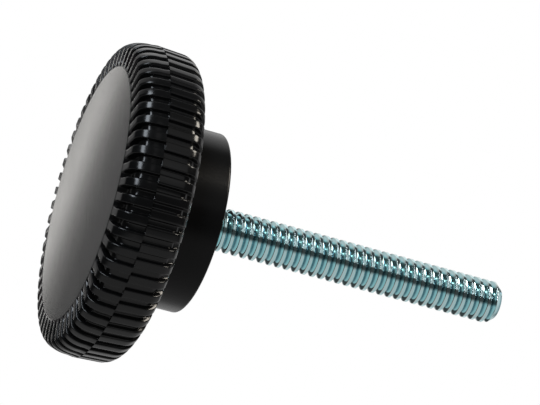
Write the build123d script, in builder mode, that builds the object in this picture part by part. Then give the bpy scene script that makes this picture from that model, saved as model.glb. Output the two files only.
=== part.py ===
"""A hand knob: a black moulded head with a ribbed rim and a hub, and a steel stud moulded into it.

The knob stands on its face. The origin is the middle of the face, and +Z runs along the stud to
its tip. All sizes are in millimetres.
"""

import os
from math import radians, sqrt, tan

from build123d import *

# Head
HEAD_DIAMETER = 42.8  # over the ribs, at the parting line
RIM_DEPTH = 9.4  # from the face to the back of the rim
KNOB_HEIGHT = 16.0  # from the face to the end of the hub
FACE_DIAMETER = 35.0  # the smooth disc
FACE_STEP = 0.12  # how far the disc stands above the tips of the ribs

# Rim, as it runs over the ribs
PARTING_HEIGHT = 4.0  # where the two halves of the mould met
FRONT_DRAFT_ANGLE = 3.5  # degrees
REAR_DRAFT_ANGLE = 2.0  # degrees
FRONT_SHOULDER_RADIUS = 2.2
REAR_SHOULDER_REACH = 2.0

# Ribs: a front row and a rear row, half a pitch apart
RIB_COUNT = 60
RIB_WIDTH = 1.18
RIB_ROOT = 1.0  # how far a rib runs on into the moulding
GROOVE_DEPTH = 0.58  # on the flank
GROOVE_START_GAP = 0.12  # from the foot of the disc's edge to where the grooves begin
GROOVE_KNEE_INSET = 1.6  # from the rim's front corner to the bend in a groove's floor
GROOVE_KNEE_DEPTH = 1.25  # from the tips of the ribs to that bend
FRONT_FLOOR_RUN = 0.9  # straight part of a front groove's floor, at the parting line
GROOVE_RUN_OUT = 2.3  # how far the rear grooves reach in over the back of the rim

# Hub
HUB_DIAMETER = 24.8
HUB_EDGE_CHAMFER = 0.4
HUB_FOOT_CHAMFER = 0.5

# Stud: a quarter-inch coarse thread, one and three quarter inches long
STUD_DIAMETER = 6.35
STUD_REACH = 44.45  # from the end of the hub to the tip
STUD_TIP_CHAMFER = 0.9
SHANK_DIAMETER = 5.5  # of the plain shank inside the hub, as thick as a blank before its thread is rolled
RELIEF_CLEARANCE = 0.15  # round the stud, at the mouth of the small countersink in the hub's end
ANCHOR_ACROSS_FLATS = 11.1
ANCHOR_THICKNESS = 4.1
ANCHOR_COVER = 5.0  # moulding between the face and the anchor

head_radius = HEAD_DIAMETER / 2
face_radius = FACE_DIAMETER / 2
hub_radius = HUB_DIAMETER / 2
half_pitch_angle = 180 / RIB_COUNT

# The rim's flank leans in from the parting line both ways, to two corners that are then rounded
ring_start_radius = face_radius + FACE_STEP
front_corner_radius = head_radius - (PARTING_HEIGHT - FACE_STEP) * tan(radians(FRONT_DRAFT_ANGLE))
rear_corner_radius = head_radius - (RIM_DEPTH - PARTING_HEIGHT) * tan(radians(REAR_DRAFT_ANGLE))

# The two bevels of the rear shoulder meet where a round of the same reach would pass
rear_bevel_inset = REAR_SHOULDER_REACH * (1 - sqrt(0.5))
rear_flank_radius = rear_corner_radius + REAR_SHOULDER_REACH * tan(radians(REAR_DRAFT_ANGLE))

# The floor of the grooves starts at the disc, bends over the shoulder to the flank, and runs out
# through the back of the rim
groove_start_radius = ring_start_radius + GROOVE_START_GAP
groove_knee_radius = front_corner_radius - GROOVE_KNEE_INSET
groove_knee_height = FACE_STEP + GROOVE_KNEE_DEPTH
groove_floor_radius = head_radius - GROOVE_DEPTH
front_floor_turn = PARTING_HEIGHT - FRONT_FLOOR_RUN
rear_floor_turn = RIM_DEPTH - REAR_SHOULDER_REACH
groove_end_radius = rear_corner_radius - GROOVE_RUN_OUT

# The countersink keeps the moulding clear of the stud's full diameter, where it meets the seat
relief_depth = STUD_DIAMETER / 2 + RELIEF_CLEARANCE - SHANK_DIAMETER / 2

os.makedirs("parts", exist_ok=True)

# The stud, with the plain shank and the hexagon head that the moulding grips
with BuildPart() as threaded_stud:
    with BuildSketch(Plane.XY.offset(ANCHOR_COVER)):
        RegularPolygon(ANCHOR_ACROSS_FLATS / 2, 6, major_radius=False)
    extrude(amount=ANCHOR_THICKNESS)
    with BuildSketch(Plane.XY.offset(ANCHOR_COVER)):
        Circle(SHANK_DIAMETER / 2)
    extrude(amount=KNOB_HEIGHT - ANCHOR_COVER)
    with BuildSketch(Plane.XY.offset(KNOB_HEIGHT)):
        Circle(STUD_DIAMETER / 2)
    extrude(amount=STUD_REACH)
    tip_edge = threaded_stud.edges().filter_by(GeomType.CIRCLE).sort_by(Axis.Z)[-1]
    chamfer(tip_edge, length=STUD_TIP_CHAMFER)

# A rib of the front row, rounded over the shoulder and rooted under the disc
with BuildPart() as front_rib:
    with BuildSketch(Plane.XZ) as front_rib_outline:
        with BuildLine():
            Polyline(
                (face_radius - RIB_ROOT, FACE_STEP),
                (front_corner_radius, FACE_STEP),
                (head_radius, PARTING_HEIGHT),
                (face_radius - RIB_ROOT, PARTING_HEIGHT),
                close=True,
            )
        make_face()
        fillet(
            front_rib_outline.vertices().sort_by_distance((front_corner_radius, FACE_STEP))[0],
            FRONT_SHOULDER_RADIUS,
        )
    extrude(amount=RIB_WIDTH / 2, both=True)

# A rib of the rear row, with two bevels over the back of the rim
with BuildPart() as rear_rib:
    with BuildSketch(Plane.XZ):
        with BuildLine():
            Polyline(
                (groove_end_radius - RIB_ROOT, PARTING_HEIGHT),
                (head_radius, PARTING_HEIGHT),
                (rear_flank_radius, rear_floor_turn),
                (rear_corner_radius - rear_bevel_inset, RIM_DEPTH - rear_bevel_inset),
                (rear_corner_radius - REAR_SHOULDER_REACH, RIM_DEPTH),
                (groove_end_radius - RIB_ROOT, RIM_DEPTH),
                close=True,
            )
        make_face()
    extrude(amount=RIB_WIDTH / 2, both=True)

# The moulding: its outline follows the floor of the grooves, and the ribs stand on it
with BuildPart() as knob_body:
    with BuildSketch(Plane.XZ) as half_outline:
        with BuildLine():
            Polyline(
                (0, 0),
                (face_radius, 0),
                (ring_start_radius, FACE_STEP),
                (groove_start_radius, FACE_STEP),
                (groove_knee_radius, groove_knee_height),
                (groove_floor_radius, front_floor_turn),
                (groove_floor_radius, rear_floor_turn),
                (groove_end_radius, RIM_DEPTH),
                (hub_radius, RIM_DEPTH),
                (hub_radius, KNOB_HEIGHT),
                (0, KNOB_HEIGHT),
                close=True,
            )
        make_face()
        chamfer(
            half_outline.vertices().sort_by_distance((hub_radius, RIM_DEPTH))[0],
            length=HUB_FOOT_CHAMFER,
        )
        chamfer(
            half_outline.vertices().sort_by_distance((hub_radius, KNOB_HEIGHT))[0],
            length=HUB_EDGE_CHAMFER,
        )
    revolve(axis=Axis.Z)
    with PolarLocations(0, RIB_COUNT):
        add(front_rib.part)
    with PolarLocations(0, RIB_COUNT, start_angle=half_pitch_angle):
        add(rear_rib.part)
    add(threaded_stud.part, mode=Mode.SUBTRACT)
    shank_mouth = knob_body.edges().filter_by(GeomType.CIRCLE).group_by(Axis.Z)[-1].sort_by(SortBy.RADIUS)[0]
    chamfer(shank_mouth, length=relief_depth)

knob_body.part.label = "knob_body"
export_step(knob_body.part, "parts/knob_body.step")

threaded_stud.part.label = "threaded_stud"
export_step(threaded_stud.part, "parts/threaded_stud.step")
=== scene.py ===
"""Dresses the knurled knob: its ribbed black head, its plated screw thread, their finishes and a studio.

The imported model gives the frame: the knob stands on its face at z = 0 and the stud points up +Z.
Lengths are in metres. Sizes written in millimetres are multiplied by MM where a mesh is made.
"""

from __future__ import annotations

import logging
import math
from collections.abc import Iterable, Mapping, Sequence
from dataclasses import dataclass
from enum import Enum

import bmesh
import bpy
from mathutils import Matrix, Vector

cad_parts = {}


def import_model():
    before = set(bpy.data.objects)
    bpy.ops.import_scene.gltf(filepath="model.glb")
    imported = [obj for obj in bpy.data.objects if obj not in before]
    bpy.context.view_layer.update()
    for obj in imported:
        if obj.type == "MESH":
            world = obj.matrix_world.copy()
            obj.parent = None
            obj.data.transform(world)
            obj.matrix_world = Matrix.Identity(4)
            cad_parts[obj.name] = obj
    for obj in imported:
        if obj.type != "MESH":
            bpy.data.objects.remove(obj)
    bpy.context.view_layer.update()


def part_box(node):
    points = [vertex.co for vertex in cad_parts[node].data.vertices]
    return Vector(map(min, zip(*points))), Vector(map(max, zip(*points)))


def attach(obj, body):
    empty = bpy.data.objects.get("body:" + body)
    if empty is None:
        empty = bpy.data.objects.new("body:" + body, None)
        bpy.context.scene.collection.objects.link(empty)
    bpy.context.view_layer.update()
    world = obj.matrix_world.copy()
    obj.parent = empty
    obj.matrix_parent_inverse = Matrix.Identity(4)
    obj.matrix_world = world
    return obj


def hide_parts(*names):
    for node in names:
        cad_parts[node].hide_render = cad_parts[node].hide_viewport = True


LOG = logging.getLogger("knob")
MM = 0.001
BODY = "root"
REGION_ATTRIBUTE = "region"
SHARP_ANGLE = math.radians(50)
WELD_DISTANCE = 2e-7  # joins the tiles of the head, and the turns of the thread
SHORTEST_EDGE = 1e-8  # anything shorter is taken as a point
HEIGHT_TOLERANCE = 1e-6  # how far an edge may lie from a cut that it belongs to
LEAST_RADIUS = 1e-5  # keeps the tip's cone open above the stud's end
WHITE = (1.0, 1.0, 1.0, 1.0)
Colour = tuple[float, float, float]
Direction = tuple[float, float, float]
Pair = tuple[float, float]
Point = tuple[float, float]


class Region(Enum):
    """The parts of the moulded head that have a finish of their own."""

    RIBS = 0
    FACE = 1
    HUB = 2


def between(start: float, end: float, share: float) -> float:
    """Gives the value a share of the way from start to end."""
    return start + (end - start) * share


def even_shares(steps: int) -> list[float]:
    """Lists evenly spaced shares from 0 to 1, both included."""
    return [i / steps for i in range(steps + 1)]


def smooth_step(low: float, high: float, value: float) -> float:
    """Rises smoothly from 0 at low to 1 at high.

    Args:
        low: The value up to which the result is 0.
        high: The value from which the result is 1.
        value: Where the curve is read.

    Returns:
        The height of the curve, from 0 to 1.
    """
    share = min(max((value - low) / (high - low), 0.0), 1.0)
    return share * share * (3 - 2 * share)


def arc(centre: Point, radii: Pair, start: float, end: float, steps: int) -> list[Point]:
    """Lists points along an elliptical arc.

    Args:
        centre: The arc's centre, as radius and height.
        radii: The arc's reach along the radius and along the height.
        start: The angle of the first point, in degrees from the outward direction.
        end: The angle of the last point, in degrees.
        steps: How many steps the arc is divided into.

    Returns:
        The points, one more than there are steps.
    """
    turns = [math.radians(between(start, end, share)) for share in even_shares(steps)]
    return [(centre[0] + radii[0] * math.cos(t), centre[1] + radii[1] * math.sin(t)) for t in turns]


def line(start: Point, end: Point, steps: int) -> list[Point]:
    """Lists evenly spaced points from start to end, both included."""
    return [(between(start[0], end[0], s), between(start[1], end[1], s)) for s in even_shares(steps)]


def bend(start: Point, corner: Point, end: Point, steps: int) -> list[Point]:
    """Lists points along a curve that leaves start towards the corner and reaches end from there.

    Args:
        start: The first point, as radius and height.
        corner: The point that the curve bends towards.
        end: The last point.
        steps: How many steps the curve is divided into.

    Returns:
        The points, one more than there are steps.
    """
    first, second = line(start, corner, steps), line(corner, end, steps)
    trio = zip(first, second, even_shares(steps))
    return [(between(a[0], b[0], share), between(a[1], b[1], share)) for a, b, share in trio]


def place_round(radius: float, angle: float, height: float) -> tuple[float, float, float]:
    """Gives a place in metres from a radius and a height in millimetres and an angle in radians."""
    return (radius * math.cos(angle) * MM, radius * math.sin(angle) * MM, height * MM)


def link_object(name: str, data: bpy.types.ID) -> bpy.types.Object:
    """Makes an object for a mesh, a camera or a lamp, and links it to the scene.

    Args:
        name: The object's name.
        data: The mesh, the camera or the lamp.

    Returns:
        The new object, at the origin.
    """
    obj = bpy.data.objects.new(name, data)
    bpy.context.scene.collection.objects.link(obj)
    return obj


def mesh_object(
    name: str, verts: Sequence[Sequence[float]], faces: Sequence[Sequence[int]]
) -> bpy.types.Object:
    """Makes a mesh object at the origin.

    Args:
        name: The object's name.
        verts: The corners, in metres.
        faces: The faces, as indices of their corners.

    Returns:
        The new object.
    """
    mesh = bpy.data.meshes.new(name)
    mesh.from_pydata(verts, [], faces)
    mesh.update()
    return link_object(name, mesh)


def socket_called(sockets: Iterable[bpy.types.NodeSocket], identifier: str) -> bpy.types.NodeSocket:
    """Finds a socket by its identifier, where several sockets of a node share a name."""
    return next(socket for socket in sockets if socket.identifier == identifier)


class Nodes:
    """Adds nodes to a tree and links them."""

    def __init__(self, tree: bpy.types.NodeTree) -> None:
        """Keeps the tree that is built."""
        self.tree = tree

    def add(
        self, kind: str, settings: Mapping[str, object] | None = None, **inputs: object
    ) -> bpy.types.Node:
        """Adds a node, sets its properties and feeds its inputs.

        Args:
            kind: The node's type, such as "ShaderNodeBump".
            settings: Properties to set before the inputs are fed.
            **inputs: A value or an output for each input, with underscores for the spaces in its name.

        Returns:
            The new node.
        """
        node = self.tree.nodes.new(kind)
        for name, value in (settings or {}).items():
            setattr(node, name, value)
        for name, value in inputs.items():
            self.feed(node.inputs[name.replace("_", " ")], value)
        return node

    def feed(self, socket: bpy.types.NodeSocket, value: object) -> None:
        """Links an output to a socket, or sets the socket's own value.

        Args:
            socket: The input that is fed.
            value: An output or a plain value.
        """
        if isinstance(value, bpy.types.NodeSocket):
            self.tree.links.new(value, socket)
        else:
            socket.default_value = value

    def math(self, operation: str, *values: object) -> bpy.types.NodeSocket:
        """Adds a Math node and gives its output.

        Args:
            operation: The node's operation, such as "MULTIPLY".
            *values: A number or an output for each of its inputs.

        Returns:
            The node's output.
        """
        node = self.add("ShaderNodeMath", {"operation": operation})
        for socket, value in zip(node.inputs, values):
            self.feed(socket, value)
        return node.outputs[0]

    def ramp(self, value: object, low: float, high: float) -> bpy.types.NodeSocket:
        """Rises smoothly from 0 at low to 1 at high.

        Args:
            value: The output that is read.
            low: Where the ramp starts.
            high: Where the ramp ends.

        Returns:
            The ramp's output.
        """
        curve = {"interpolation_type": "SMOOTHSTEP"}
        node = self.add("ShaderNodeMapRange", curve, Value=value, From_Min=low, From_Max=high)
        return node.outputs["Result"]

    def mix(self, share: object, first: object, second: object) -> bpy.types.NodeSocket:
        """Mixes two colours.

        Args:
            share: How much of the second colour shows, from 0 to 1.
            first: The first colour.
            second: The second colour.

        Returns:
            The mixed colour.
        """
        node = self.add("ShaderNodeMix", {"data_type": "RGBA"})
        for identifier, value in (("Factor_Float", share), ("A_Color", first), ("B_Color", second)):
            self.feed(socket_called(node.inputs, identifier), value)
        return socket_called(node.outputs, "Result_Color")

    def mix_shaders(self, share: object, first: object, second: object) -> bpy.types.NodeSocket:
        """Mixes two shaders.

        Args:
            share: How much of the second shader shows, from 0 to 1.
            first: The first shader's output.
            second: The second shader's output.

        Returns:
            The mixed shader.
        """
        node = self.add("ShaderNodeMixShader")
        for socket, value in zip(node.inputs, (share, first, second)):
            self.feed(socket, value)
        return node.outputs[0]

    def axis_distance(self, parts: bpy.types.Node) -> bpy.types.NodeSocket:
        """Measures the distance from the knob's axis, from a place split into its X, Y and Z."""
        squares = [self.math("MULTIPLY", parts.outputs[axis], parts.outputs[axis]) for axis in "XY"]
        return self.math("SQRT", self.math("ADD", *squares))


def rgba(colour: Colour) -> tuple[float, float, float, float]:
    """Adds a full alpha to a colour."""
    return (*colour, 1.0)


def new_group(
    name: str, kind: str, inputs: Mapping[str, str], outputs: Mapping[str, str]
) -> bpy.types.NodeTree:
    """Starts a node group with named inputs and outputs.

    Args:
        name: The group's name.
        kind: "ShaderNodeTree" or "GeometryNodeTree".
        inputs: The socket type of each input, by its name.
        outputs: The socket type of each output, by its name.

    Returns:
        The group, with its sockets and nothing inside.
    """
    group = bpy.data.node_groups.new(name, kind)
    for way, sockets in (("INPUT", inputs), ("OUTPUT", outputs)):
        for label, socket_type in sockets.items():
            group.interface.new_socket(label, in_out=way, socket_type=socket_type)
    return group


def run_geometry_nodes(
    obj: bpy.types.Object, group: bpy.types.NodeTree, values: Mapping[str, object], name: str
) -> bpy.types.Object:
    """Runs a Geometry Nodes group on an object and keeps the result as a plain mesh.

    Args:
        obj: The object that goes into the group. It is deleted afterwards.
        group: The group.
        values: A value for each named input.
        name: The name of the result.

    Returns:
        A new object that holds the result and has no modifier.
    """
    modifier = obj.modifiers.new("nodes", "NODES")
    modifier.node_group = group
    identifiers = {s.name: s.identifier for s in group.interface.items_tree if s.in_out == "INPUT"}
    for label, value in values.items():
        modifier[identifiers[label]] = value
    depsgraph = bpy.context.evaluated_depsgraph_get()
    mesh = bpy.data.meshes.new_from_object(obj.evaluated_get(depsgraph), depsgraph=depsgraph)
    mesh.name = name
    bpy.data.objects.remove(obj)
    return link_object(name, mesh)


def finish_mesh(obj: bpy.types.Object) -> None:
    """Turns the faces outwards, shades them smooth and keeps the sharp edges sharp.

    Args:
        obj: The object whose mesh is finished.
    """
    bm = bmesh.new()
    bm.from_mesh(obj.data)
    bmesh.ops.dissolve_degenerate(bm, edges=bm.edges, dist=SHORTEST_EDGE)
    bmesh.ops.recalc_face_normals(bm, faces=bm.faces)
    bm.to_mesh(obj.data)
    bm.free()
    obj.data.shade_smooth()
    obj.data.set_sharp_from_angle(angle=SHARP_ANGLE)


def surface_grain_group() -> bpy.types.NodeTree:
    """Builds the group for the fine unevenness of a surface, used by every finish.

    Returns:
        A shader group that gives a mask of slow variation and a fine height.
    """
    group = new_group(
        "surface_grain",
        "ShaderNodeTree",
        {"Patch Scale": "NodeSocketFloat", "Grain Scale": "NodeSocketFloat", "Contrast": "NodeSocketFloat"},
        {"Patches": "NodeSocketFloat", "Grain": "NodeSocketFloat"},
    )
    middle = 0.5
    nodes = Nodes(group)
    given = nodes.add("NodeGroupInput")
    place = nodes.add("ShaderNodeTexCoord").outputs["Object"]
    patches = nodes.add("ShaderNodeTexNoise", Vector=place, Scale=given.outputs["Patch Scale"], Detail=3.0)
    grain = nodes.add("ShaderNodeTexNoise", Vector=place, Scale=given.outputs["Grain Scale"], Detail=2.0)
    centred = nodes.math("SUBTRACT", patches.outputs["Fac"], middle)
    stretched = nodes.math("MULTIPLY_ADD", centred, given.outputs["Contrast"], middle)
    nodes.add("NodeGroupOutput", Patches=stretched, Grain=grain.outputs["Fac"])
    return group


def shaft_distance_group() -> bpy.types.NodeTree:
    """Builds the group that measures a point's distance from the knob's axis.

    Returns:
        A shader group that gives the radius of a point, in metres.
    """
    group = new_group("shaft_distance", "ShaderNodeTree", {}, {"Radius": "NodeSocketFloat"})
    nodes = Nodes(group)
    place = nodes.add("ShaderNodeTexCoord").outputs["Object"]
    parts = nodes.add("ShaderNodeSeparateXYZ", Vector=place)
    nodes.add("NodeGroupOutput", Radius=nodes.axis_distance(parts))
    return group


@dataclass(frozen=True)
class SurfaceGroups:
    """The shader groups that the finishes use."""

    grain: bpy.types.NodeTree
    shaft: bpy.types.NodeTree

    @classmethod
    def build(cls) -> SurfaceGroups:
        """Builds each group once."""
        return cls(surface_grain_group(), shaft_distance_group())


def blank_material(name: str) -> tuple[bpy.types.Material, Nodes, bpy.types.Node]:
    """Starts a material that holds one Principled shader.

    Args:
        name: The material's name.

    Returns:
        The material, a helper for its tree and the shader node.
    """
    material = bpy.data.materials.new(name)
    material.use_nodes = True
    material.node_tree.nodes.clear()
    nodes = Nodes(material.node_tree)
    shader = nodes.add("ShaderNodeBsdfPrincipled")
    nodes.add("ShaderNodeOutputMaterial", Surface=shader.outputs["BSDF"])
    return material, nodes, shader


@dataclass(frozen=True, kw_only=True)
class UnevenFinish:
    """A finish whose gloss changes in slow patches, with a fine grain in its surface."""

    name: str
    roughness: float
    roughness_spread: float
    patch_scale: float
    patch_contrast: float
    grain_scale: float
    grain_height: float
    grain_strength: float

    def add_skin(self, nodes: Nodes, shader: bpy.types.Node, groups: SurfaceGroups) -> bpy.types.NodeSocket:
        """Makes a shader's gloss and surface uneven.

        Args:
            nodes: The helper for the material's tree.
            shader: The Principled shader.
            groups: The groups that the finishes use.

        Returns:
            The mask of the patches, which a colour can follow too.
        """
        skin = nodes.add(
            "ShaderNodeGroup",
            {"node_tree": groups.grain},
            Patch_Scale=self.patch_scale,
            Grain_Scale=self.grain_scale,
            Contrast=self.patch_contrast,
        )
        patches = skin.outputs["Patches"]
        spread = nodes.math("MULTIPLY_ADD", patches, self.roughness_spread, self.roughness)
        nodes.feed(shader.inputs["Roughness"], spread)
        bump = nodes.add(
            "ShaderNodeBump",
            Strength=self.grain_strength,
            Distance=self.grain_height,
            Height=skin.outputs["Grain"],
        )
        nodes.feed(shader.inputs["Normal"], bump.outputs["Normal"])
        return patches


@dataclass(frozen=True, kw_only=True)
class BlackMoulding(UnevenFinish):
    """Black moulded plastic, with a skin that varies a little in gloss."""

    colour: Colour = (0.0025, 0.0025, 0.0027)
    patch_colour: Colour = (0.005, 0.005, 0.0052)
    specular_level: float = 0.34
    roughness: float = 0.13
    roughness_spread: float = 0.08
    patch_scale: float = 180.0
    patch_contrast: float = 1.0
    grain_scale: float = 3500.0
    grain_height: float = 0.000004
    grain_strength: float = 0.25

    def build(self, groups: SurfaceGroups) -> bpy.types.Material:
        """Makes the material.

        Args:
            groups: The groups that the finishes use.

        Returns:
            The material.
        """
        material, nodes, shader = blank_material(self.name)
        patches = self.add_skin(nodes, shader, groups)
        mottled = nodes.mix(patches, rgba(self.colour), rgba(self.patch_colour))
        nodes.feed(shader.inputs["Base Color"], mottled)
        nodes.feed(shader.inputs["Specular IOR Level"], self.specular_level)
        return material


@dataclass(frozen=True, kw_only=True)
class BluePlating(UnevenFinish):
    """Bright zinc plating with a blue cast, with painted shade in the thread's valleys and a painted
    highlight on the edges of its crests.
    """

    major_radius: float
    root_radius: float
    # painted shade: the darker valley colour stands in for the shade down in the thread's valleys
    valley_shade_colour: Colour = (0.28, 0.47, 0.52)
    flank_colour: Colour = (0.62, 0.9, 0.93)
    # painted highlight: the pale edge colour stands in for the light that the crests' edges catch
    crest_highlight_colour: Colour = (0.95, 0.95, 0.9)
    flank_share: float = 0.5  # where the flank's own colour is reached, from the root to the crest
    highlight_share: float = 0.97  # where the painted highlight is strongest, from the root to the crest
    highlight_start: float = 0.8  # where the painted highlight begins, from the flank's colour to the pale edge
    roughness: float = 0.05
    roughness_spread: float = 0.08
    patch_scale: float = 900.0
    patch_contrast: float = 1.6
    grain_scale: float = 6000.0
    grain_height: float = 0.00001
    grain_strength: float = 0.1

    def build(self, groups: SurfaceGroups) -> bpy.types.Material:
        """Makes the material.

        Args:
            groups: The groups that the finishes use.

        Returns:
            The material.
        """
        material, nodes, shader = blank_material(self.name)
        self.add_skin(nodes, shader, groups)
        radius = nodes.add("ShaderNodeGroup", {"node_tree": groups.shaft}).outputs["Radius"]
        flank = between(self.root_radius, self.major_radius, self.flank_share)
        edge = between(self.root_radius, self.major_radius, self.highlight_share)
        # painted shade in the valleys, fading into the flank's own colour towards the crest
        past_valley_shade = nodes.ramp(radius, self.root_radius, flank)
        plated = nodes.mix(past_valley_shade, rgba(self.valley_shade_colour), rgba(self.flank_colour))
        # painted highlight: a pale band round the crests' edges, gone on the crest land itself
        rising = nodes.ramp(radius, between(flank, edge, self.highlight_start), edge)
        falling = nodes.ramp(radius, edge, self.major_radius)
        painted_highlight = nodes.math("SUBTRACT", rising, falling)
        nodes.feed(shader.inputs["Base Color"], nodes.mix(painted_highlight, plated, rgba(self.crest_highlight_colour)))
        nodes.feed(shader.inputs["Metallic"], 1.0)
        return material


@dataclass(frozen=True)
class ProfileRow:
    """One ring of the head: a point of its outline, and how the grooves cut it."""

    radius: float
    height: float
    inward: Pair = (0.0, 0.0)
    depth: float = 0.0
    width: float = 1.0
    rear: bool = False
    region: Region = Region.RIBS


@dataclass
class RibbedHead:
    """The black moulded head: face, two rows of ribs half a pitch apart, and hub.

    Sizes are in millimetres. A groove's width where it starts is a share of its width on the flank.
    """

    outer_radius: float
    height: float
    face_radius: float = 17.4
    face_edge_rounding: float = 0.15
    face_edge_step: float = 0.02
    rim_depth: float = 9.4
    parting_height: float = 4.0
    parting_gap: float = 0.03

    rib_count: int = 60  # in each row
    crest_share: float = 0.50  # of half a pitch
    floor_share: float = 0.33  # of half a pitch
    groove_depth: float = 0.58  # on the flank
    shoulder_groove_depth: float = 1.05

    ring_gap: float = 0.02  # from the disc's edge to where the ribs start
    ring_rise: float = 0.01  # from the foot of the disc's edge to the ribs' tips there
    ring_bend: Point = (19.45, 0.09)  # where the tips bend towards between the disc and the shoulder
    face_step: float = 0.18  # from the face to where the shoulder's arc would lie flat
    front_shoulder: Pair = (1.5, 3.0)  # reach along the radius and along the height
    front_shoulder_start: float = -84.0  # degrees from the outward direction
    front_lean: float = 0.11  # how much narrower the flank is at the shoulder
    front_run_in: float = 1.9  # how far out from its start a groove reaches its depth
    front_easing: Pair = (0.2, 1.6)  # between these heights it eases to its depth on the flank
    front_start_width: float = 0.85
    front_widening: float = 1.6  # how far out from its start a groove reaches its width

    rear_shoulder: Pair = (2.0, 2.1)  # reach along the radius and along the height
    rear_ring_reach: float = 0.5  # from the shoulder inwards over the back of the rim
    rear_lean: float = 0.16  # how much narrower the flank is at the shoulder
    rear_run_out: float = 2.3  # how far in from the rim a groove ends
    rear_swell: float = 1.25  # a groove's greatest depth, as a share of its depth on the flank
    rear_swell_reach: float = 1.5  # from a groove's end to its greatest depth
    rear_start_width: float = 0.5
    rear_widening: float = 1.4  # how far out from its end a groove reaches its width

    hub_radius: float = 12.4
    hub_foot_radius: float = 0.8
    hub_edge_radius: float = 0.35
    relief_radius: float = 3.325
    relief_depth: float = 0.575

    # Where the columns of half a rib stand, as a share of its crest, wall and floor, and how high
    # the rib is there
    CREST_COLUMNS = ((0.0, 1.0), (0.5, 1.0), (0.85, 0.995), (0.97, 0.965))
    WALL_COLUMNS = ((0.1, 0.86), (0.5, 0.45), (0.85, 0.1))
    FLOOR_COLUMNS = ((0.1, 0.02), (0.4, 0.0), (1.0, 0.0))

    @property
    def half_pitch(self) -> float:
        """Half the angle from one rib to the next, in radians."""
        return math.pi / self.rib_count

    @property
    def ring_start(self) -> Point:
        """Where the tips of the front ribs start, as radius and height."""
        return (self.face_radius + self.ring_gap, self.face_edge_step + self.ring_rise)

    @property
    def relief_floor(self) -> float:
        """The height of the bottom of the countersink round the stud."""
        return self.height - self.relief_depth

    def half_rib(self, width: float) -> list[Pair]:
        """Lists the angle and the height of each column from a rib's middle to the middle of the groove.

        Args:
            width: The width of the groove, as a share of its width on the flank.

        Returns:
            The angle in radians and the height from 0 to 1 of each column.
        """
        crest_end = 1 - (1 - self.crest_share) * width
        floor_start = 1 - self.floor_share * width
        columns = [(share * crest_end, height) for share, height in self.CREST_COLUMNS]
        columns += [(between(crest_end, floor_start, share), height) for share, height in self.WALL_COLUMNS]
        columns += [(between(floor_start, 1.0, share), height) for share, height in self.FLOOR_COLUMNS]
        return [(share * self.half_pitch, height) for share, height in columns]

    def columns(self, row: ProfileRow) -> list[Pair]:
        """Lists the columns of one pitch for a ring, from the left edge of the tile to the right.

        Args:
            row: The ring.

        Returns:
            The angle and the height of each column.
        """
        half = self.half_rib(row.width)
        if row.rear:
            half = [(self.half_pitch - angle, height) for angle, height in reversed(half)]
        left = [(-angle, height) for angle, height in reversed(half)]
        return left + half[1:]

    def face_rows(self) -> list[ProfileRow]:
        """Lists the rings of the face's rounded edge, from which the ribs run on.

        Returns:
            The rings, from the face outwards.
        """
        rounding, step = self.face_edge_rounding, self.face_edge_step
        edge = arc((self.face_radius - rounding, step), (rounding, step), start=-90, end=0, steps=3)
        return [ProfileRow(r, z, region=Region.FACE) for r, z in edge]

    def front_rows(self) -> list[ProfileRow]:
        """Lists the rings of the front row of ribs.

        Returns:
            The rings, from the face to the parting line.
        """
        reach, drop = self.front_shoulder
        flank_radius = self.outer_radius - self.front_lean
        centre = (flank_radius - reach, self.face_step + drop)
        shoulder = arc(centre, self.front_shoulder, self.front_shoulder_start, end=0, steps=12)
        ring = bend(self.ring_start, self.ring_bend, shoulder[0], steps=8)
        parting = (self.outer_radius, self.parting_height - self.parting_gap)
        flank = line((flank_radius, centre[1]), parting, steps=3)
        return self.cut_rows(ring + shoulder[1:] + flank[1:], False)

    def rear_rows(self) -> list[ProfileRow]:
        """Lists the rings of the rear row of ribs.

        Returns:
            The rings, from the parting line to the back of the rim.
        """
        reach, drop = self.rear_shoulder
        flank_radius = self.outer_radius - self.rear_lean
        centre = (flank_radius - reach, self.rim_depth - drop)
        parting = (self.outer_radius, self.parting_height + self.parting_gap)
        flank = line(parting, (flank_radius, centre[1]), steps=3)
        shoulder = arc(centre, self.rear_shoulder, start=0, end=90, steps=9)
        ring = line((centre[0], self.rim_depth), (centre[0] - self.rear_ring_reach, self.rim_depth), steps=2)
        return self.cut_rows(flank + shoulder[1:] + ring[1:], True)

    def cut_rows(self, path: Sequence[Point], rear: bool) -> list[ProfileRow]:
        """Works out how deep and how wide the grooves are along a path over the ribs.

        Args:
            path: The outline over the crests, as radius and height.
            rear: Whether the path belongs to the rear row of ribs.

        Returns:
            The rings.
        """
        rows = []
        for i, (radius, height) in enumerate(path):
            before, after = path[max(i - 1, 0)], path[min(i + 1, len(path) - 1)]
            run = Vector((after[0] - before[0], after[1] - before[1])).normalized()
            inward = (-run.y, run.x)
            depth, width = self.rear_cut(radius) if rear else self.front_cut(radius, height)
            rows.append(ProfileRow(radius, height, inward, depth, width, rear))
        return rows

    def front_cut(self, radius: float, height: float) -> Pair:
        """Works out how a front groove cuts a point of the outline.

        Args:
            radius: The point's radius.
            height: The point's height.

        Returns:
            The groove's depth and its width.
        """
        start = self.ring_start[0]
        left = 1 - min((radius - start) / self.front_run_in, 1.0)
        depth = self.shoulder_groove_depth * (1 - left**3)
        depth -= (self.shoulder_groove_depth - self.groove_depth) * smooth_step(*self.front_easing, height)
        widened = smooth_step(start, start + self.front_widening, radius)
        return depth, between(self.front_start_width, 1.0, widened)

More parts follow.
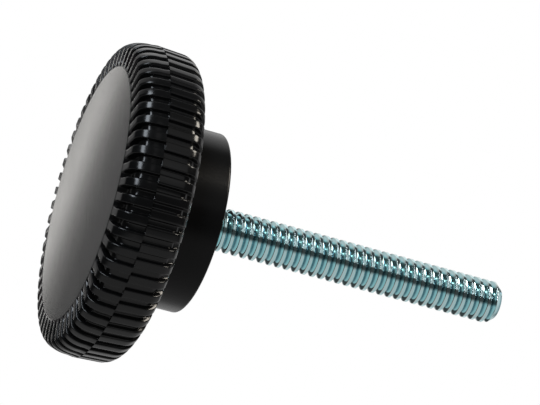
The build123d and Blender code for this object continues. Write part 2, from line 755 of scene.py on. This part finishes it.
    def rear_cut(self, radius: float) -> Pair:
        """Works out how a rear groove cuts a point of the outline.

        Args:
            radius: The point's radius.

        Returns:
            The groove's depth and its width.
        """
        end = self.outer_radius - self.rear_run_out
        deepest = end + self.rear_swell_reach
        depth = self.groove_depth * self.rear_swell * smooth_step(end, deepest, radius)
        depth -= self.groove_depth * (self.rear_swell - 1) * smooth_step(deepest, self.outer_radius, radius)
        widened = smooth_step(end, end + self.rear_widening, radius)
        return depth, between(self.rear_start_width, 1.0, widened)

    def hub_rows(self) -> list[ProfileRow]:
        """Lists the rings of the back of the rim and of the hub.

        Returns:
            The rings, to the countersink round the stud.
        """
        foot, edge = self.hub_foot_radius, self.hub_edge_radius
        foot_centre = (self.hub_radius + foot, self.rim_depth + foot)
        foot_arc = arc(foot_centre, (foot, foot), start=-90, end=-180, steps=4)
        edge_arc = arc((self.hub_radius - edge, self.height - edge), (edge, edge), start=0, end=90, steps=4)
        relief_end = (self.relief_radius - self.relief_depth, self.relief_floor)
        path = [*foot_arc, *edge_arc, (self.relief_radius, self.height), relief_end]
        return [ProfileRow(r, z, region=Region.HUB) for r, z in path]

    def tile(self) -> bpy.types.Object:
        """Makes one pitch of the head, with a rib of the front row in its middle.

        Returns:
            The tile, with the region of each face as an attribute.
        """
        rows = self.face_rows() + self.front_rows() + self.rear_rows() + self.hub_rows()
        verts, faces, regions = [], [], []
        for row in rows:
            for angle, rise in self.columns(row):
                sink = row.depth * (1 - rise)
                verts.append(
                    place_round(row.radius + row.inward[0] * sink, angle, row.height + row.inward[1] * sink)
                )
        count = len(verts) // len(rows)
        for i in range(len(rows) - 1):
            for j in range(count - 1):
                corner = i * count + j
                faces.append((corner, corner + 1, corner + count + 1, corner + count))
                regions.append(rows[i + 1].region.value)
        face_middle = len(verts)
        relief_middle = face_middle + 1
        verts += [(0.0, 0.0, 0.0), (0.0, 0.0, self.relief_floor * MM)]
        faces.append((face_middle, *range(count - 1, -1, -1)))
        faces.append((relief_middle, *range(face_middle - count, face_middle)))
        regions += [Region.FACE.value, Region.HUB.value]
        obj = mesh_object("rib_tile", verts, faces)
        attribute = obj.data.attributes.new(REGION_ATTRIBUTE, "INT", "FACE")
        attribute.data.foreach_set("value", regions)
        return obj

    def ring_group(self, materials: Mapping[Region, bpy.types.Material]) -> bpy.types.NodeTree:
        """Builds the Geometry Nodes that repeat the tile round the axis and weld it into one head.

        Args:
            materials: The material of each region.

        Returns:
            The group.
        """
        group = new_group(
            "rib_ring",
            "GeometryNodeTree",
            {"Tile": "NodeSocketGeometry", "Rib Count": "NodeSocketInt", "Weld Distance": "NodeSocketFloat"},
            {"Head": "NodeSocketGeometry"},
        )
        nodes = Nodes(group)
        given = nodes.add("NodeGroupInput").outputs
        points = nodes.add("GeometryNodePoints", Count=given["Rib Count"])
        turn = nodes.math("DIVIDE", nodes.add("GeometryNodeInputIndex").outputs[0], given["Rib Count"])
        rotation = nodes.add("ShaderNodeCombineXYZ", Z=nodes.math("MULTIPLY", turn, 2 * math.pi))
        ring = nodes.add(
            "GeometryNodeInstanceOnPoints",
            Points=points.outputs[0],
            Instance=given["Tile"],
            Rotation=rotation.outputs[0],
        )
        real = nodes.add("GeometryNodeRealizeInstances", Geometry=ring.outputs[0])
        weld = nodes.add(
            "GeometryNodeMergeByDistance", Geometry=real.outputs[0], Distance=given["Weld Distance"]
        )
        geometry = weld.outputs[0]
        region = nodes.add("GeometryNodeInputNamedAttribute", {"data_type": "INT"}, Name=REGION_ATTRIBUTE)
        for which, material in materials.items():
            same = nodes.add("FunctionNodeCompare", {"data_type": "INT", "operation": "EQUAL"})
            nodes.feed(socket_called(same.inputs, "A_INT"), region.outputs[0])
            nodes.feed(socket_called(same.inputs, "B_INT"), which.value)
            dressed = nodes.add(
                "GeometryNodeSetMaterial", Geometry=geometry, Selection=same.outputs[0], Material=material
            )
            geometry = dressed.outputs[0]
        nodes.add("NodeGroupOutput", Head=geometry)
        return group

    def build(self, materials: Mapping[Region, bpy.types.Material]) -> bpy.types.Object:
        """Makes the dressed head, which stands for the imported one.

        Args:
            materials: The material of each region.

        Returns:
            The head.
        """
        values = {"Rib Count": self.rib_count, "Weld Distance": WELD_DISTANCE}
        head = run_geometry_nodes(self.tile(), self.ring_group(materials), values, "ribbed_head")
        finish_mesh(head)
        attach(head, BODY)
        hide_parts("knob_body")
        return head


@dataclass
class ThreadedStud:
    """The plated stud with its coarse right-hand thread. Sizes are in millimetres."""

    tip_height: float
    hub_height: float
    major_radius: float = 2.98
    thread_depth: float = 0.66
    pitch: float = 1.27
    first_crest: float = 0.27  # from the hub's end to the first crest on +X
    hidden_turns: int = 3  # from the start of the thread to that crest
    cut_turns: float = 1.5  # from the start of the thread to where its hidden end is cut square
    tip_radius: float = 2.2
    tip_cone_height: float = 0.95
    segments: int = 64

    # From the middle of a crest to the middle of the valley: how far along the pitch, and how high
    # above the root
    HALF_SECTION = (
        (0.0, 1.0), (0.13, 1.0), (0.145, 0.997), (0.16, 0.985), (0.19, 0.93), (0.25, 0.76),
        (0.32, 0.55), (0.39, 0.34), (0.44, 0.18), (0.48, 0.05), (0.5, 0.02),
    )

    @property
    def root_radius(self) -> float:
        """The radius at the bottom of the thread."""
        return self.major_radius - self.thread_depth

    @property
    def start_height(self) -> float:
        """The height of the crest on +X that the thread starts from, inside the hub."""
        return self.hub_height + self.first_crest - self.hidden_turns * self.pitch

    def section(self) -> list[Pair]:
        """Lists one turn's section, with half a crest at both ends and a narrow valley between."""
        falling = list(self.HALF_SECTION)
        return falling + [(1 - along, rise) for along, rise in reversed(falling[:-1])]

    def turn(self) -> bpy.types.Object:
        """Makes one turn of the thread, climbing one pitch anticlockwise.

        Returns:
            The turn, as an open band.
        """
        verts, faces = [], []
        section = self.section()
        for share in even_shares(self.segments):
            for along, rise in section:
                radius = self.root_radius + self.thread_depth * rise
                height = self.start_height + (share + along) * self.pitch
                verts.append(place_round(radius, 2 * math.pi * share, height))
        count = len(section)
        for i in range(self.segments):
            for j in range(count - 1):
                corner = i * count + j
                faces.append((corner, corner + count, corner + count + 1, corner + 1))
        return mesh_object("thread_turn", verts, faces)

    def thread_group(self, material: bpy.types.Material) -> bpy.types.NodeTree:
        """Builds the Geometry Nodes that stack the turns and cut the cone of the tip.

        Args:
            material: The plating.

        Returns:
            The group.
        """
        group = new_group(
            "thread_turns",
            "GeometryNodeTree",
            {
                "Turn": "NodeSocketGeometry",
                "Turns": "NodeSocketInt",
                "Pitch": "NodeSocketFloat",
                "Tip Height": "NodeSocketFloat",
                "Tip Radius": "NodeSocketFloat",
                "Cone Slope": "NodeSocketFloat",
                "Weld Distance": "NodeSocketFloat",
            },
            {"Thread": "NodeSocketGeometry"},
        )
        nodes = Nodes(group)
        given = nodes.add("NodeGroupInput").outputs
        step = nodes.add("ShaderNodeCombineXYZ", Z=given["Pitch"])
        points = nodes.add("GeometryNodeMeshLine", Count=given["Turns"], Offset=step.outputs[0])
        stack = nodes.add("GeometryNodeInstanceOnPoints", Points=points.outputs[0], Instance=given["Turn"])
        real = nodes.add("GeometryNodeRealizeInstances", Geometry=stack.outputs[0])
        weld = nodes.add(
            "GeometryNodeMergeByDistance", Geometry=real.outputs[0], Distance=given["Weld Distance"]
        )
        place = nodes.add("GeometryNodeInputPosition").outputs[0]
        parts = nodes.add("ShaderNodeSeparateXYZ", Vector=place)
        radius = nodes.axis_distance(parts)
        below = nodes.math("SUBTRACT", given["Tip Height"], parts.outputs["Z"])
        cone = nodes.math("MULTIPLY_ADD", below, given["Cone Slope"], given["Tip Radius"])
        limited = nodes.math("MAXIMUM", nodes.math("MINIMUM", radius, cone), LEAST_RADIUS)
        share = nodes.math("DIVIDE", limited, radius)
        across = [nodes.math("MULTIPLY", parts.outputs[axis], share) for axis in "XY"]
        moved = nodes.add("ShaderNodeCombineXYZ", X=across[0], Y=across[1], Z=parts.outputs["Z"])
        coned = nodes.add("GeometryNodeSetPosition", Geometry=weld.outputs[0], Position=moved.outputs[0])
        plated = nodes.add("GeometryNodeSetMaterial", Geometry=coned.outputs[0], Material=material)
        nodes.add("NodeGroupOutput", Thread=plated.outputs[0])
        return group

    def close_ends(self, obj: bpy.types.Object) -> None:
        """Cuts the thread square at the tip and inside the hub, and closes both ends.

        Args:
            obj: The open thread.
        """
        bm = bmesh.new()
        bm.from_mesh(obj.data)
        hidden_end = self.start_height + self.cut_turns * self.pitch
        for height, direction in ((self.tip_height, 1), (hidden_end, -1)):
            bmesh.ops.bisect_plane(
                bm,
                geom=bm.verts[:] + bm.edges[:] + bm.faces[:],
                dist=SHORTEST_EDGE,
                plane_co=(0, 0, height * MM),
                plane_no=(0, 0, direction),
                clear_outer=True,
            )
            open_edges = [e for e in bm.edges if e.is_boundary and self.at_height(e, height)]
            bmesh.ops.contextual_create(bm, geom=open_edges)
        bm.to_mesh(obj.data)
        bm.free()

    def at_height(self, edge: bmesh.types.BMEdge, height: float) -> bool:
        """Tells whether an edge lies at a height, in millimetres."""
        return all(abs(v.co.z - height * MM) < HEIGHT_TOLERANCE for v in edge.verts)

    def build(self, material: bpy.types.Material) -> bpy.types.Object:
        """Makes the threaded stud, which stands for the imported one.

        Args:
            material: The plating.

        Returns:
            The stud.
        """
        values = {
            "Turns": math.ceil((self.tip_height - self.start_height) / self.pitch) + 1,
            "Pitch": self.pitch * MM,
            "Tip Height": self.tip_height * MM,
            "Tip Radius": self.tip_radius * MM,
            "Cone Slope": (self.major_radius - self.tip_radius) / self.tip_cone_height,
            "Weld Distance": WELD_DISTANCE,
        }
        stud = run_geometry_nodes(self.turn(), self.thread_group(material), values, "plated_stud")
        self.close_ends(stud)
        finish_mesh(stud)
        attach(stud, BODY)
        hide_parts("threaded_stud")
        return stud


@dataclass(frozen=True)
class PhotoView:
    """The camera that the photograph was taken with, as fitted to the rim, the face and the hub.

    Picture positions are in pixels of a frame 540 wide and 405 high. The picture's axes run to the
    right, down, and away from the camera. The scale is in pixels to the millimetre and the distance
    in millimetres, both at the end of the hub.
    """

    frame_width: float = 540.0
    centre: Point = (269.5, 202.0)
    hub_end: Point = (197.1, 222.85)
    scale: float = 7.452
    distance: float = 333.3
    axis_turn: float = 15.4
    axis_tilt: float = 16.7
    rib_phase: float = 3.0
    sensor_width: float = 36.0
    nearest: float = 0.01
    farthest: float = 10.0

    def axes(self) -> Matrix:
        """Works out the knob's own axes in the picture's axes.

        Returns:
            A matrix with one of the knob's axes in each column.
        """
        turn, tilt = math.radians(self.axis_turn), math.radians(self.axis_tilt)
        along = Vector((math.cos(tilt) * math.cos(turn), math.cos(tilt) * math.sin(turn), math.sin(tilt)))
        first = along.cross(Vector((0, 0, 1))).normalized()
        second = along.cross(first)
        phase = math.radians(self.rib_phase)
        x_axis = first * math.cos(phase) + second * math.sin(phase)
        y_axis = along.cross(x_axis)
        return Matrix((x_axis, y_axis, along)).transposed()

    def to_knob(self, right: float, up: float, towards: float) -> Vector:
        """Turns a direction seen in the picture into the knob's axes.

        Args:
            right: How far to the right in the picture.
            up: How far up in the picture.
            towards: How far towards the camera.

        Returns:
            The same direction in the knob's own axes.
        """
        return self.axes().transposed() @ Vector((right, -up, -towards))

    def place_camera(self, hub_height: float) -> None:
        """Makes the camera.

        Args:
            hub_height: The height of the end of the hub, in metres.
        """
        data = bpy.data.cameras.new("photo_camera")
        data.sensor_width = self.sensor_width
        data.lens = self.scale * self.distance * self.sensor_width / self.frame_width
        data.clip_start = self.nearest
        data.clip_end = self.farthest
        axes = self.axes()
        flip = Matrix.Diagonal((1, -1, -1))
        across = (self.hub_end[0] - self.centre[0]) / self.scale
        down = (self.hub_end[1] - self.centre[1]) / self.scale
        offset = Vector((across, down, self.distance)) * MM
        place = Vector((0, 0, hub_height)) - axes.transposed() @ offset
        camera = link_object("photo_camera", data)
        camera.matrix_world = Matrix.Translation(place) @ (axes.transposed() @ flip).to_4x4()
        bpy.context.scene.camera = camera


@dataclass(frozen=True)
class Softbox:
    """A soft lamp that faces the knob.

    Its directions are given as seen in the picture: to the right, up, and towards the camera.
    """

    name: str
    direction: Direction
    distance: float
    size: Pair
    long_side: Direction
    level: float
    colour: Colour

    def build(self, view: PhotoView, aim: Vector) -> None:
        """Makes the lamp, with a power that gives its surface the wanted brightness.

        Args:
            view: The view that the directions belong to.
            aim: The point that the lamp faces.
        """
        light = bpy.data.lights.new(self.name, "AREA")
        light.shape = "RECTANGLE"
        light.size, light.size_y = self.size
        light.energy = self.level * math.pi * self.size[0] * self.size[1]
        light.color = self.colour
        lamp = link_object(self.name, light)
        way = view.to_knob(*self.direction).normalized()
        side = view.to_knob(*self.long_side)
        side = (side - way * side.dot(way)).normalized()
        turn = Matrix((side.cross(way), side, way)).transposed()
        lamp.matrix_world = Matrix.Translation(aim + way * self.distance) @ turn.to_4x4()
        lamp.visible_camera = False


@dataclass(frozen=True)
class Glow:
    """A soft patch of light in the surround, full to its inner angle and gone at its outer one.

    Its direction is given as seen in the picture: to the right, up, and towards the camera. Its
    angles are in degrees from there.
    """

    direction: Direction
    inner_angle: float
    outer_angle: float
    level: float


@dataclass
class Studio:
    """A plain pale floor, a surround with soft patches of light, and soft lamps."""

    view: PhotoView
    aim: Vector
    floor_size: float = 1.2
    floor_drop: float = 0.00002
    floor_colour: Colour = (0.8, 0.8, 0.79)
    floor_roughness: float = 0.9
    backdrop_level: float = 1.0
    surround_level: float = 0.05
    glows: tuple[Glow, ...] = (
        Glow((0.0, -1.0, 0.1), inner_angle=52, outer_angle=74, level=0.44),  # below
        Glow((0.1, -0.3, -0.95), inner_angle=14, outer_angle=32, level=0.5),  # behind, a little low
        Glow((0.72, -0.15, -0.67), inner_angle=12, outer_angle=24, level=0.6),  # behind, right
        Glow((0.2, 0.55, -0.81), inner_angle=10, outer_angle=33, level=0.8),  # behind, high
        Glow((-0.7, 0.19, -0.69), inner_angle=6, outer_angle=20, level=0.25),  # behind, left
        Glow((0.62, 0.33, 0.71), inner_angle=3, outer_angle=14, level=0.5),  # in front, right
        Glow((0.63, 0.62, 0.46), inner_angle=4, outer_angle=18, level=0.3),  # in front, right and high
        Glow((-0.3, 0.8, -0.52), inner_angle=15, outer_angle=38, level=0.5),  # above, a little behind
    )
    lamps: tuple[Softbox, ...] = (
        Softbox(
            "left_window",
            direction=(-0.463, 0.15, -0.874),
            distance=0.22,
            size=(0.01, 0.16),
            long_side=(0.06, 1, 0),
            level=2.2,
            colour=(1.0, 0.98, 0.95),
        ),
        Softbox(
            "tall_strip",
            direction=(-0.06, 0.77, 0.64),
            distance=0.3,
            size=(0.066, 0.42),
            long_side=(-0.15, -0.93, 1.07),
            level=9.5,
            colour=(0.84, 0.92, 1.0),
        ),
        Softbox(
            "warm_lamp",
            direction=(0.85, 0.53, 0.03),
            distance=0.3,
            size=(0.095, 0.13),
            long_side=(-0.1, 0.3, -0.9),
            level=14.0,
            colour=(1.0, 0.93, 0.82),
        ),
    )

    def floor(self) -> None:
        """Makes the floor. Only the camera sees it, and only from above, so it blocks no light."""
        half = self.floor_size / 2
        outline = [(x * half, y * half, -self.floor_drop) for x, y in ((-1, -1), (1, -1), (1, 1), (-1, 1))]
        floor = mesh_object("floor", outline, [(0, 1, 2, 3)])
        material, nodes, shader = blank_material("pale_floor")
        nodes.feed(shader.inputs["Base Color"], rgba(self.floor_colour))
        nodes.feed(shader.inputs["Roughness"], self.floor_roughness)
        path = nodes.add("ShaderNodeLightPath")
        side = nodes.add("ShaderNodeNewGeometry")
        from_above = nodes.math("SUBTRACT", 1.0, side.outputs["Backfacing"])
        shown = nodes.math("MULTIPLY", path.outputs["Is Camera Ray"], from_above)
        clear = nodes.add("ShaderNodeBsdfTransparent")
        output = next(n for n in nodes.tree.nodes if n.type == "OUTPUT_MATERIAL")
        mixed = nodes.mix_shaders(shown, clear.outputs[0], shader.outputs["BSDF"])
        nodes.feed(output.inputs["Surface"], mixed)
        floor.data.materials.append(material)

    def surround(self) -> None:
        """Makes the world: white to the camera, and to the knob a dim room with soft patches of light."""
        world = bpy.data.worlds.new("surround")
        bpy.context.scene.world = world
        world.use_nodes = True
        world.node_tree.nodes.clear()
        nodes = Nodes(world.node_tree)
        path = nodes.add("ShaderNodeLightPath")
        seen = nodes.add("ShaderNodeTexCoord").outputs["Generated"]
        level = self.surround_level
        for glow in self.glows:
            facing = nodes.add("ShaderNodeVectorMath", {"operation": "DOT_PRODUCT"})
            nodes.feed(facing.inputs[0], seen)
            nodes.feed(facing.inputs[1], self.view.to_knob(*glow.direction).normalized())
            low, high = (math.cos(math.radians(angle)) for angle in (glow.outer_angle, glow.inner_angle))
            patch = nodes.ramp(facing.outputs["Value"], low, high)
            level = nodes.math("MULTIPLY_ADD", patch, glow.level, level)
        fill = nodes.add("ShaderNodeBackground", Color=WHITE, Strength=level)
        backdrop = nodes.add("ShaderNodeBackground", Color=WHITE, Strength=self.backdrop_level)
        mixed = nodes.mix_shaders(path.outputs["Is Camera Ray"], fill.outputs[0], backdrop.outputs[0])
        nodes.add("ShaderNodeOutputWorld", Surface=mixed)

    def build(self) -> None:
        """Makes the floor, the surround and the lamps."""
        self.floor()
        self.surround()
        for lamp in self.lamps:
            lamp.build(self.view, self.aim)


def head_materials(groups: SurfaceGroups) -> dict[Region, bpy.types.Material]:
    """Makes the finishes of the head: glossy ribs, a satin face and a duller hub.

    Args:
        groups: The groups that the finishes use.

    Returns:
        The material of each region.
    """
    finishes = {
        Region.RIBS: BlackMoulding(name="ribbed_black"),
        Region.FACE: BlackMoulding(
            name="satin_black",
            colour=(0.01, 0.01, 0.01),
            patch_colour=(0.013, 0.013, 0.013),
            specular_level=0.5,
            roughness_spread=0.03,
            grain_strength=0.1,
        ),
        Region.HUB: BlackMoulding(
            name="hub_black", colour=(0.005, 0.005, 0.005), specular_level=0.13, roughness=0.16
        ),
    }
    return {region: finish.build(groups) for region, finish in finishes.items()}


def main() -> None:
    """Loads the frame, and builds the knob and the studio."""
    logging.basicConfig(level=logging.INFO, format="%(name)s: %(message)s")
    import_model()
    bpy.context.scene.view_settings.view_transform = "Standard"
    head_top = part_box("knob_body")[1]
    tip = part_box("threaded_stud")[1].z
    groups = SurfaceGroups.build()
    head = RibbedHead(outer_radius=round(head_top.x / MM, 1), height=head_top.z / MM)
    LOG.info("%s has two rows of %d ribs", head.build(head_materials(groups)).name, head.rib_count)
    stud = ThreadedStud(tip_height=tip / MM, hub_height=head_top.z / MM)
    plating = BluePlating(
        name="blue_zinc", major_radius=stud.major_radius * MM, root_radius=stud.root_radius * MM
    )
    LOG.info("%s has a pitch of %.2f mm", stud.build(plating.build(groups)).name, stud.pitch)
    view = PhotoView()
    view.place_camera(head_top.z)
    Studio(view, Vector((0, 0, head_top.z / 2))).build()


if __name__ == "__main__":
    main()
